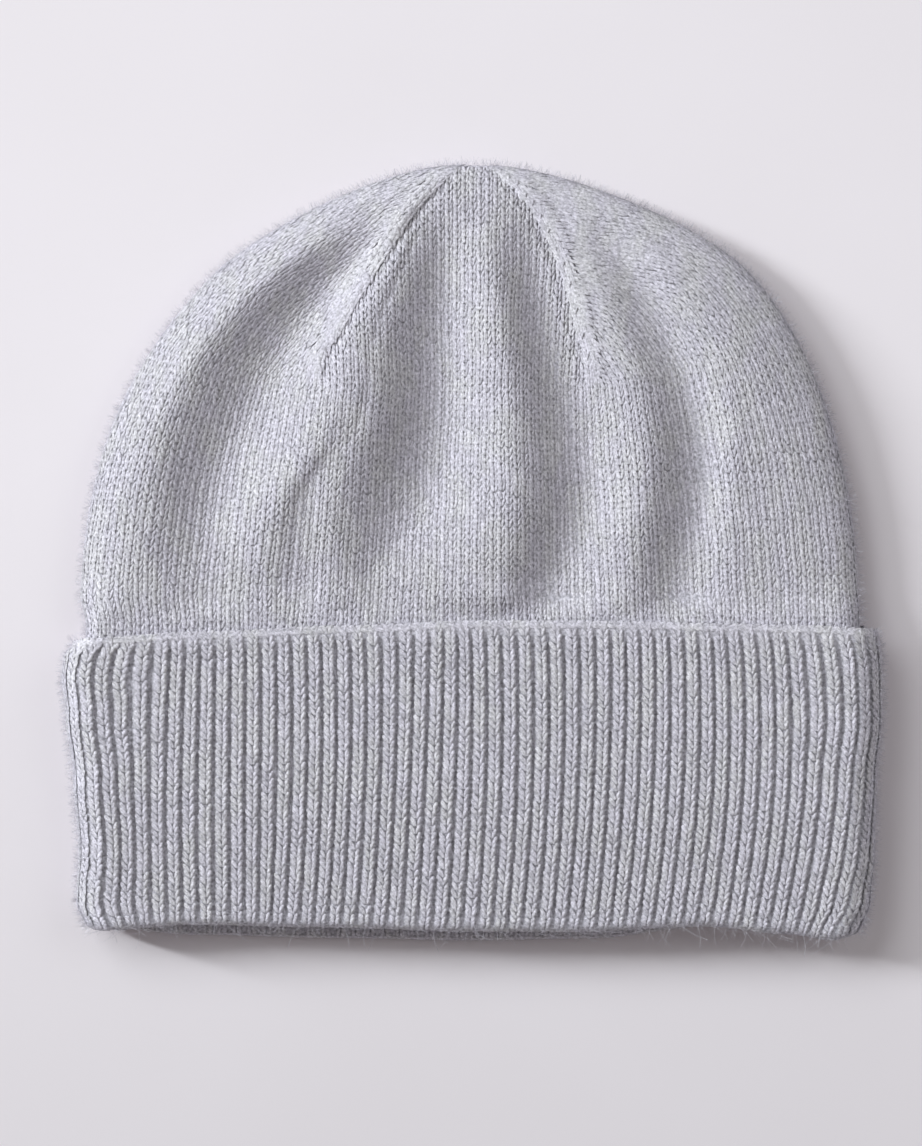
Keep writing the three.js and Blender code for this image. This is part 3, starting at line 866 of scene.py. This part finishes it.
# The cuff: one band of 1x1 ribbing, knitted on below the crown, folded double and turned up
# over the crown's lower end. Each rib is a raised column of V stitches, with a deep purl
# groove to either side. The fold at the mouth is soft, and the cast-on edge lies on top.
CUFF_MOUTH_DROOP = 1.3
CUFF_DROOP_Y = (-60, -98)
CUFF_MIDDLE_Y = -58
CUFF_INNER_WALL = 2.2
PIECE_GAP = 0.3
RIB_COUNT = 112
RIB_DEPTH = 0.75
CUFF_SPAN = {"left": -103.2, "right": 103.8}
CUFF_SIDE_REACH = 26.0
CUFF_SIDES = {
    "y": (-98, -90, -77, -58, -42, -32, -27, -23.5, -20),
    "left": (-99.8, -102.4, -101.8, -103.2, -105.2, -106.2, -105.6, -103.4, -100.5),
    "right": (100.2, 102.7, 103.6, 104.1, 105.5, 105.5, 105.3, 104.9, 104.4),
}
CUFF_EDGES = {
    "x": (-106, -99, -72, -35, 0, 30, 62, 85, 99, 106),
    "top": (-23.8, -22.2, -20.7, -19.2, -17.8, -17.9, -18.6, -19.1, -19.8, -20.6),
    "front": (-97.4, -97.4, -95.8, -96.5, -97.5, -97.6, -96.2, -98.2, -99.7, -98.6),
    "back": (-97.4, -98, -99.6, -100.5, -101.1, -100.6, -97.4, -98.6, -99.4, -98.6),
}
FRONT_FROM = (0.2, 0.8)
RIB_LEVELS = (-28, -54, -90)
RIB_DRIFT = {
    "x": (-99, -90, -78, -62, -46, -30, -13, 2, 18, 34, 50, 66, 83, 95),
    "top": (0.1, 0.7, 1.5, 1.6, 1.8, 1.4, 2.1, 1.3, 1.7, 2.2, 1.7, 1.1, 1, 1.3),
    "middle": (-0.7, -0.2, 0.6, 1.4, 1.9, 1.4, 1.3, 1.3, 1.7, 1.8, 1.6, 1.4, 1.6, 1.8),
    "bottom": (-2.2, -0.9, 0.5, 1.1, 0.1, -0.8, -0.7, -0.6, -0.6, -0.9, -1.7, -2.1, -2.5, -1.4),
}
BACK_DRIFT_REACH = (-103, -70, 70, 104)
CUFF_ROWS = 45
FIRST_STITCH_ROW = 0.6
FOLD_STITCHES = 12
FOLD_SPACING = 0.6
GAP_FACE = CUFF_OUTER_WALL + LAYER_GAP
FOLD_RADIUS = (GAP_FACE + CUFF_INNER_WALL) / 2


def oval_place(share, y, inset):
    """A place on the flat cuff's section: share runs once round it from the left end,
    over the front first, and inset is how far the place lies inside the cuff's outside."""
    half = (CUFF_THICKNESS - CUFF_MOUTH_DROOP * eased(*CUFF_DROOP_Y, y)) / 2
    middle = CUFF_SPAN["left"] + half
    straight = CUFF_SPAN["right"] - half - middle
    quarter = half * np.pi / 2
    travel = np.mod(share, 1) * (2 * straight + 4 * quarter)
    turn = np.pi
    for length, shift, turned in (
        (quarter, 0, -np.pi / 2),
        (straight, straight, 0),
        (2 * quarter, 0, -np.pi),
        (straight, -straight, 0),
        (quarter, 0, -np.pi / 2),
    ):
        done = np.clip(travel / length, 0, 1)
        travel = travel - length
        middle = middle + shift * done
        turn = turn + turned * done
    x = middle + (half - inset) * np.cos(turn)
    z = half + (half - inset) * np.sin(turn)
    for side, span in CUFF_SPAN.items():
        near = eased(span - np.sign(span) * CUFF_SIDE_REACH, span - np.sign(span) * half, x)
        x = x + (along(CUFF_SIDES["y"], CUFF_SIDES[side], y) - span) * near
    return x, z


def cuff_edges(share):
    """For places round the cuff: the upper edge's and the fold's height, the face and x."""
    x, z = oval_place(share, CUFF_MIDDLE_Y, 0)
    front = eased(*FRONT_FROM, z / CUFF_THICKNESS)
    top, fold_front, fold_back = (
        along(CUFF_EDGES["x"], CUFF_EDGES[name], x) for name in ("top", "front", "back")
    )
    return top, fold_back + (fold_front - fold_back) * front, np.where(front > 0.5, 1, -1), x


def rib_drift(x, y, facing):
    """How far the ribs have wandered along the band from even places: a parabola over height
    through the drift at three levels. The back only takes up what the ends hand on."""
    drift = np.zeros(len(x))
    for level, name in zip(RIB_LEVELS, ("top", "middle", "bottom")):
        others = [other for other in RIB_LEVELS if other != level]
        weight = (y - others[0]) * (y - others[1]) / ((level - others[0]) * (level - others[1]))
        ends = RIB_DRIFT[name][0], 0, 0, RIB_DRIFT[name][-1]
        front = along(RIB_DRIFT["x"], RIB_DRIFT[name], x)
        drift += weight * np.where(facing > 0, front, along(BACK_DRIFT_REACH, ends, x))
    return drift


def cuff_surface(share, y, inset):
    _, _, facing, x = cuff_edges(share)
    perimeter = 2 * (CUFF_SPAN["right"] - CUFF_SPAN["left"] + CUFF_THICKNESS)
    x, z = oval_place(share + rib_drift(x, y, facing) / perimeter, y, inset)
    return np.column_stack(np.broadcast_arrays(x, y, z))


def fold_path(share, row, depth):
    """Height and inset of a row of the band: down the outside, round the fold and up inside.
    Rows count from the cast-on edge, and depth is how far below the outside a place lies."""
    top, fold, _, _ = cuff_edges(share)
    start = fold + FOLD_RADIUS
    row_height = (top - start) / CUFF_ROWS
    past = np.maximum(0, row - CUFF_ROWS) * row_height
    turn = np.clip(past / FOLD_RADIUS, 0, np.pi)
    beyond = np.maximum(0, past - FOLD_RADIUS * np.pi)
    radius = FOLD_RADIUS - depth
    y = np.where(row < CUFF_ROWS, top - row * row_height, start - radius * np.sin(turn) + beyond)
    return y, FOLD_RADIUS - radius * np.cos(turn)


def band_place(rib, row):
    share = (rib - 0.5) / RIB_COUNT
    return cuff_surface(share, *fold_path(share, row, 0))


def rib_stitches(ribs):
    """One knit stitch on each rib in each row, with short even ones round the fold."""
    straight = np.arange(CUFF_ROWS - 1)
    fold = CUFF_ROWS - 1 + FOLD_SPACING * np.arange(FOLD_STITCHES)
    even, rib = grid_of(np.append(straight, fold) + FIRST_STITCH_ROW, ribs)
    row, rib = unsteady(even, rib, 60 + len(ribs), columns=0.0, jitter=0.14)
    row = np.where(even > CUFF_ROWS - 2, even, row)
    half = np.where(even > CUFF_ROWS - 1, FOLD_SPACING, 1) / 2
    return stitch_frames(lambda climb, r: band_place(r, -climb), -row, rib, row_reach=half)


rib_wool = wool_finish("rib_wool", heather_colours, softness=2.4)
rib_strands = {
    "Depth": 0.54 * MM, "Width": 0.34, "Length": 1.8, "Spread": 0.185, "Lean": 0.21,
    "Roundness": 0.3, "Slant": 0.14, "Bias": 0.06,
}
front_ribs = np.arange(0, RIB_COUNT // 2 + 1)
back_ribs = np.arange(RIB_COUNT // 2 + 1, RIB_COUNT)
for name, ribs, sides, rings in (
    ("cuff_ribs_front", front_ribs, 5, 4),
    ("cuff_ribs_back", back_ribs, 4, 3),
):
    knitted(
        name, [rib_stitches(ribs)], "rib_knit",
        Sides=sides, Rings=rings, Seed=len(name), Finish=rib_wool, **rib_strands)

# The cuff's ground: the solid ribbed band behind the stitches, folded double, with its grooves
# between the ribs. Its rings run down the outside, round the fold, up the plain inside to the
# crown's end, and back down the gap between its two layers.
CUFF_GROUND_DEPTH = 0.45
EDGE_GROUND_DEPTH = 0.2
EDGE_GROUND_ROWS = (0.4, 3.6)
HEM_GROUND_DEPTH = 0.25
HEM_GROUND_ROWS = (CUFF_ROWS - 0.8, CUFF_ROWS + 1.2)
COLUMNS_PER_RIB = 6
GROOVE_EDGE = 0.26
END_FROM = (92, 102)
END_GROUND_RISE = 0.1
END_FLATTENING = 0.6
INNER_RIB_DEPTH = 0.3
GAP_ABOVE_FOLD = 5
EDGE_RISE = 0.1
GROUND_ROWS = (
    0.8, 1.6, 2.4, 3.4,
    *np.arange(5, CUFF_ROWS - 2, 2.5),
    *np.arange(CUFF_ROWS - 1.8, CUFF_ROWS + 9, 0.9),
)
INSIDE_LEVELS = (0.12, 0.35, 0.7, 1.0)


def cuff_ground_rings():
    columns = np.arange(RIB_COUNT * COLUMNS_PER_RIB)
    share = columns / len(columns) - 0.5 / RIB_COUNT
    phase = np.mod(columns / COLUMNS_PER_RIB, 1)
    groove = 1 - eased(0, GROOVE_EDGE, phase) * (1 - eased(1 - GROOVE_EDGE, 1, phase))
    top, fold, _, x = cuff_edges(share)
    near_end = eased(*END_FROM, np.abs(x))
    groove *= 1 - END_FLATTENING * near_end
    inside_ground = GAP_FACE + CUFF_INNER_WALL - INNER_RIB_DEPTH * (1 - groove)
    inner_end = JOIN_Y - PIECE_GAP
    places = [(top + EDGE_RISE, CUFF_OUTER_WALL), (top, EDGE_GROUND_DEPTH)]
    for row in GROUND_ROWS:
        below_edge = eased(*EDGE_GROUND_ROWS, row)
        depth = EDGE_GROUND_DEPTH + (CUFF_GROUND_DEPTH - EDGE_GROUND_DEPTH) * below_edge
        depth = depth + (RIB_DEPTH * groove - END_GROUND_RISE * near_end) * below_edge
        depth = depth + (HEM_GROUND_DEPTH - depth) * eased(*HEM_GROUND_ROWS, row)
        y, inset = fold_path(share, row, depth)
        places.append((y, np.minimum(inset, inside_ground)))
    for level in INSIDE_LEVELS:
        places.append((fold + (inner_end - fold) * level, inside_ground))
    places.append((inner_end, GAP_FACE))
    places.append((fold + GAP_ABOVE_FOLD, GAP_FACE))
    places.append((fold + GAP_ABOVE_FOLD, CUFF_OUTER_WALL))
    return np.array([cuff_surface(share, y, inset) for y, inset in places])


rings = cuff_ground_rings()
cuff_ground = mesh_piece("cuff_ground", rings.reshape(-1, 3), closed_rings(rings, looped=True))
cuff_ground.data.flip_normals()
# Painted shade: the ground's darker wool darkens the grooves between the ribs
cuff_ground.data.materials.append(shaded_ground_wool)
cuff_ground.data.shade_smooth()
dressed(cuff_ground, "cuff", slot="rib_knit")


# The band's two edges: the cast-on edge, a thin pale chain of loops along the turn-up's upper
# edge, and the hem, a smooth line of loops that runs round on the crest of the fold.
LOOPS_PER_RIB = 2
LOOP_REACH = 0.25
CAST_ON_ROWS = (0.42, 0.42)
HEM_ROWS = (CUFF_ROWS + 1.3, CUFF_ROWS + 3.0)


def edge_chain(rows, width):
    """One line of loops across the ribs, at these rows of the band's front and of its back."""
    front_row, back_row = rows
    rib = np.arange(RIB_COUNT * LOOPS_PER_RIB) / LOOPS_PER_RIB
    height = oval_place((rib - 0.5) / RIB_COUNT, CUFF_EDGES["front"][0], 0)[1]
    row = back_row + (front_row - back_row) * eased(0, 1, height / CUFF_THICKNESS)
    return stitch_frames(
        lambda r, climb: band_place(r, -climb), rib, -row,
        face=-1, row_reach=LOOP_REACH, width=width)


chain_strands = {
    "Depth": 0.75 * MM, "Width": 0.6, "Length": 1.6,
    "Lean": 0.28, "Spread": 0.24, "Unevenness": 0.12,
}
for name, rows, width in (("cuff_cast_on_edge", CAST_ON_ROWS, 2.0), ("cuff_hem", HEM_ROWS, 1.5)):
    knitted(
        name, [edge_chain(rows, width)], "rib_knit",
        Sides=6, Rings=4, Seed=77, Finish=rib_wool, **chain_strands)


# The halo: loose wool fibres that stand off the yarn all over, thinly spread, each a fine
# curved hair that is held at one end. They are thickest along the rim, and longer wisps hang
# from the cuff's fold. They soften the outline and cross the ribs' grooves.
CROWN_FIBRES = {"Density": 2.6e5, "Length": 0.0022, "Lift": 0.14}
CUFF_FIBRES = {"Density": 5.5e5, "Length": 0.0026, "Lift": 0.14}
RIM_FIBRES = {
    "Density": 34.0e5, "Length": 0.0017, "Lift": 0.8, "Lowest Facing": -0.6, "Highest Facing": 0.65,
}
WISPS = {
    "Density": 7.0e5, "Length": 0.006, "Width": 0.08 * MM, "Lift": 0.1, "Curl": 0.5,
    "Lowest Facing": 0.15,
}
WISP_ROWS = (CUFF_ROWS + 0.5, CUFF_ROWS + 2.6)
PALE_FIBRE = (0.57, 0.545, 0.61, 1)
FIBRE_TILT = (-0.25, 0.1)
FIBRE_LENGTHS = (0.35, 1.35)
FULL_TURN = 6.283
SKIN_COLUMNS = 160
SKIN_RINGS = 14
SKIN_INSET = 0.15
WISP_RINGS = 5


def halo_tree():
    """Scatters curved hairs over a surface, each fixed at one end and lifting at the other."""
    tree = node_group("Geometry", "yarn halo", {
        "Geometry": "Geometry",
        "Density": 8.0e5,
        "Length": 0.0025,
        "Width": 0.045 * MM,
        "Lift": 0.2,
        "Curl": 0.3,
        "Lowest Facing": -0.3,
        "Highest Facing": 1.1,
        "Seed": 1,
        "Finish": "Material",
    }, Geometry="Geometry")
    given = tree.given
    seeds = [tree.math("ADD", given["Seed"], step) for step in (1.0, 2.0, 3.0, 4.0, 5.0)]
    strip = tree.add(
        "MeshGrid", **{"Size X": 1.0, "Size Y": 1.0, "Vertices X": 4, "Vertices Y": 2})["Mesh"]
    reach = tree.math("ADD", tree.split(tree.add("InputPosition")[0])[0], 0.5)
    squared = tree.math("POWER", reach, 2.0)
    curl = tree.times(given["Curl"], tree.math("DIVIDE", given["Length"], given["Width"]))
    bent = tree.combined(X=0.5, Y=tree.times(squared, curl), Z=tree.times(squared, given["Lift"]))
    hair = tree.add("SetPosition", Geometry=strip, Offset=bent)[0]
    facing = tree.split(tree.add("InputNormal")[0])[2]
    above, below = (
        tree.add(
            "FunctionNodeCompare", {"data_type": "FLOAT", "operation": operation},
            in_0=facing, in_1=given[limit])[0]
        for operation, limit in (("GREATER_THAN", "Lowest Facing"), ("LESS_THAN", "Highest Facing"))
    )
    chosen = tree.add("FunctionNodeBooleanMath", {"operation": "AND"}, in_0=above, in_1=below)[0]
    scatter = tree.add(
        "DistributePointsOnFaces", {"distribute_method": "RANDOM"},
        Mesh=given["Geometry"], Density=given["Density"], Seed=given["Seed"], Selection=chosen)
    spin = tree.combined(
        Y=tree.random(*FIBRE_TILT, seeds[0]), Z=tree.random(0.0, FULL_TURN, seeds[1]))
    turn = tree.add(
        "FunctionNodeRotateRotation", {"rotation_space": "LOCAL"},
        in_0=scatter["Rotation"], in_1=tree.add("FunctionNodeEulerToRotation", Euler=spin)[0])[0]
    length = tree.times(given["Length"], tree.random(*FIBRE_LENGTHS, seeds[2]))
    hand = tree.math("SIGN", tree.random(-1.0, 1.0, seeds[3]))
    size = tree.combined(X=length, Y=tree.times(given["Width"], hand), Z=length)
    points = scatter["Points"]
    placed = tree.add(
        "InstanceOnPoints", Points=points, Instance=hair, Rotation=turn, Scale=size)[0]
    tree.put_finished(tree.stored(placed, "tone", tree.random(0.0, 1.0, seeds[4])))
    return tree.tree


fibre_wool = wool_finish("fibre_wool", [PALE_FIBRE] * 3, bump=0.0, sheen=0.0, **even_wool)
halo = halo_tree()

# The fibres grow from bare skins: the crown's shell, the cuff's outside and its fold's crest
skin_share = np.arange(SKIN_COLUMNS) / SKIN_COLUMNS
top, fold, _, _ = cuff_edges(skin_share)
outside = np.array([
    cuff_surface(skin_share, top + (fold - top) * level, SKIN_INSET)
    for level in np.linspace(0, 1, SKIN_RINGS)
])
crest = np.array([
    cuff_surface(skin_share, *fold_path(skin_share, row, 0))
    for row in np.linspace(*WISP_ROWS, WISP_RINGS)
])
for name, rings, settings, seed in (
    ("crown_halo", None, CROWN_FIBRES, 11),
    ("crown_rim_halo", None, RIM_FIBRES, 23),
    ("cuff_halo", outside, CUFF_FIBRES, 42),
    ("cuff_rim_halo", outside, RIM_FIBRES, 57),
    ("cuff_wisps", crest, WISPS, 68),
):
    if rings is None:
        skin = mesh_piece("skin", shell_points, shell_faces)
        slot = "jersey_knit"
    else:
        skin = mesh_piece("skin", rings.reshape(-1, 3), closed_rings(rings))
        skin.data.flip_normals()
        slot = "rib_knit"
    dressed(made_by(halo, skin, name, Seed=seed, Finish=fibre_wool, **settings), slot=slot)


# The photograph's setting: a pale table, painted darker towards its side at -y as painted
# shade where the room's light falls off, a window low on the left, white walls beyond the
# upper left and the right, and the room's own light. The camera looks straight down.
# Sizes are metres here, but for the photograph's and the camera's, which are millimetres.
TABLE_SIZE = 12.0
TABLE_COLOURS = ((0.865, 0.80, 0.845, 1), (0.89, 0.825, 0.875, 1))
TABLE_CLOUDS_PER_METRE = 9.0
TABLE_SHADE = 0.875
TABLE_SHADE_DIRECTION = (-0.18, 1.0, 0.0)
TABLE_SHADE_REACH = (-0.2, 0.06)
LIGHT_DISTANCE = 4.5
LIGHT_COLOUR = (0.93, 1.0, 1.005)
ROOM_COLOUR = (1.04, 1.0, 0.97, 1)
ROOM_STRENGTH = 0.225
PHOTO_MIDDLE = (-2.96, -5.54)
PHOTO_HEIGHT = 295.3
PLANE_HEIGHT = 9.0
LENS = 90.0
SENSOR = 36.0
NEAREST_SEEN = 0.01

bpy.ops.mesh.primitive_plane_add(size=TABLE_SIZE)
table = bpy.context.object
table.name = "table"
table_paint, paint = new_finish("table_paint", {"Roughness": 0.75, "Specular IOR Level": 0.2})
table_place = paint.add("TexCoord")["Object"]
cloudy = noise(paint, table_place, TABLE_CLOUDS_PER_METRE, 4.0)
pale = mixed(paint, ranged(paint, cloudy, 0.3, 0.7), *TABLE_COLOURS)
# Painted shade: the table's colour darkens towards -y, where the room's light falls off
depth = paint.vector("DOT_PRODUCT", table_place, TABLE_SHADE_DIRECTION)
near = ranged(paint, depth, *TABLE_SHADE_REACH, low=TABLE_SHADE, curve="SMOOTHSTEP")
paint.put("Base Color", paint.vector("SCALE", pale, near))
table.data.materials.append(table_paint)

for name, direction, elevation, width, height, power in (
    ("window", (-0.95, 0.32, 0.0), 24.5, 0.25, 1.5, 186.0),
    ("white wall", (-0.72, 0.69, 0.0), 42, 3.0, 2.0, 78.0),
    ("right wall", (0.9, 0.45, 0.0), 40, 3.0, 3.0, 36.0),
):
    lamp = bpy.data.lights.new(name, "AREA")
    lamp.shape = "RECTANGLE"
    lamp.size = width
    lamp.size_y = height
    lamp.energy = power
    lamp.color = LIGHT_COLOUR
    lamp_object = added(name, lamp)
    lift = Vector((0, 0, np.tan(np.radians(elevation))))
    lamp_object.location = (Vector(direction).normalized() + lift).normalized() * LIGHT_DISTANCE
    lamp_object.rotation_euler = (-lamp_object.location).to_track_quat("-Z", "Y").to_euler()

room = bpy.data.worlds.new("room")
room.use_nodes = True
background = room.node_tree.nodes["Background"].inputs
background["Color"].default_value = ROOM_COLOUR
background["Strength"].default_value = ROOM_STRENGTH
bpy.context.scene.world = room

camera = bpy.data.cameras.new("camera")
camera.lens = LENS
camera.sensor_width = SENSOR
camera.clip_start = NEAREST_SEEN
camera_object = added("camera", camera)
distance = LENS * PHOTO_HEIGHT / SENSOR + PLANE_HEIGHT
camera_object.location = (PHOTO_MIDDLE[0] * MM, PHOTO_MIDDLE[1] * MM, distance * MM)
bpy.context.scene.camera = camera_object
bpy.context.scene.view_settings.view_transform = "Standard"
